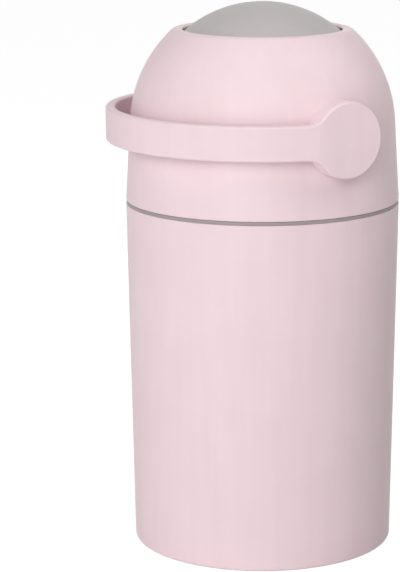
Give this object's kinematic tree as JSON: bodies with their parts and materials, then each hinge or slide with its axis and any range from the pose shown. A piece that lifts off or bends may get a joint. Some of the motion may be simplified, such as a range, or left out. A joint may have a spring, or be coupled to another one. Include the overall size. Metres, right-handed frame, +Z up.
{
  "type": "nappy bin",
  "caption": "Round nappy bin with a domed twist-lock lid and a bail handle that turns a bowl in the lid over, to drop a nappy inside.",
  "frame": {"origin": "centre of the flat base, on the floor and on the bin's own axis", "axes": "+Z up along the bin's axis; the pivot axis of the bowl and handle runs along X; at rest the grip of the handle is at the front, towards -Y"},
  "size_m": [0.3078, 0.2945, 0.5499],
  "materials": {
    "pink_plastic": "pale pink moulded plastic, satin, faintly mottled",
    "grey_plastic": "warm light grey moulded plastic, matt",
    "collar_plastic": "warm mid grey moulded plastic, matt",
    "seal_rubber": "soft dark grey rubber",
    "bearing_plastic": "natural white bearing plastic",
    "screw_steel": "zinc plated steel"
  },
  "bodies": {
    "bin": {"bin_body": "pink_plastic", "neck_collar": "collar_plastic"},
    "bag_ring": {"bag_ring": "grey_plastic"},
    "gasket": {"lid_gasket": "seal_rubber"},
    "lid": {"lid_shell": "pink_plastic", "seal_housing": "grey_plastic", "upper_seal": "seal_rubber", "lower_seal": "seal_rubber", "housing_screws": "screw_steel", "left_pivot_bush": "bearing_plastic", "right_pivot_bush": "bearing_plastic"},
    "rotor": {"bowl_dome": "grey_plastic", "bowl_ring": "grey_plastic", "handle": "pink_plastic", "left_hub": "bearing_plastic", "right_hub": "bearing_plastic", "left_thrust_washer": "bearing_plastic", "right_thrust_washer": "bearing_plastic", "left_pivot_screw": "screw_steel", "right_pivot_screw": "screw_steel", "left_screw_cap": "grey_plastic", "right_screw_cap": "grey_plastic"}
  },
  "joints": [
    {"name": "bag_ring_lift", "type": "slide", "parent": "bin", "child": "bag_ring", "axis": [0, 0, 1], "range_m": [0, 0.06]},
    {"name": "lid_lift", "type": "slide", "parent": "bag_ring", "child": "gasket", "axis": [0, 0, 1], "range_m": [0, 0.12]},
    {"name": "lid_turn", "type": "hinge", "parent": "gasket", "child": "lid", "pos_m": [0, 0, 0.353], "axis": [0, 0, -1], "range_deg": [0, 24]},
    {"name": "handle_turn", "type": "hinge", "parent": "lid", "child": "rotor", "pos_m": [0, 0, 0.4304], "axis": [-1, 0, 0], "range_deg": [0, 180]}
  ]
}
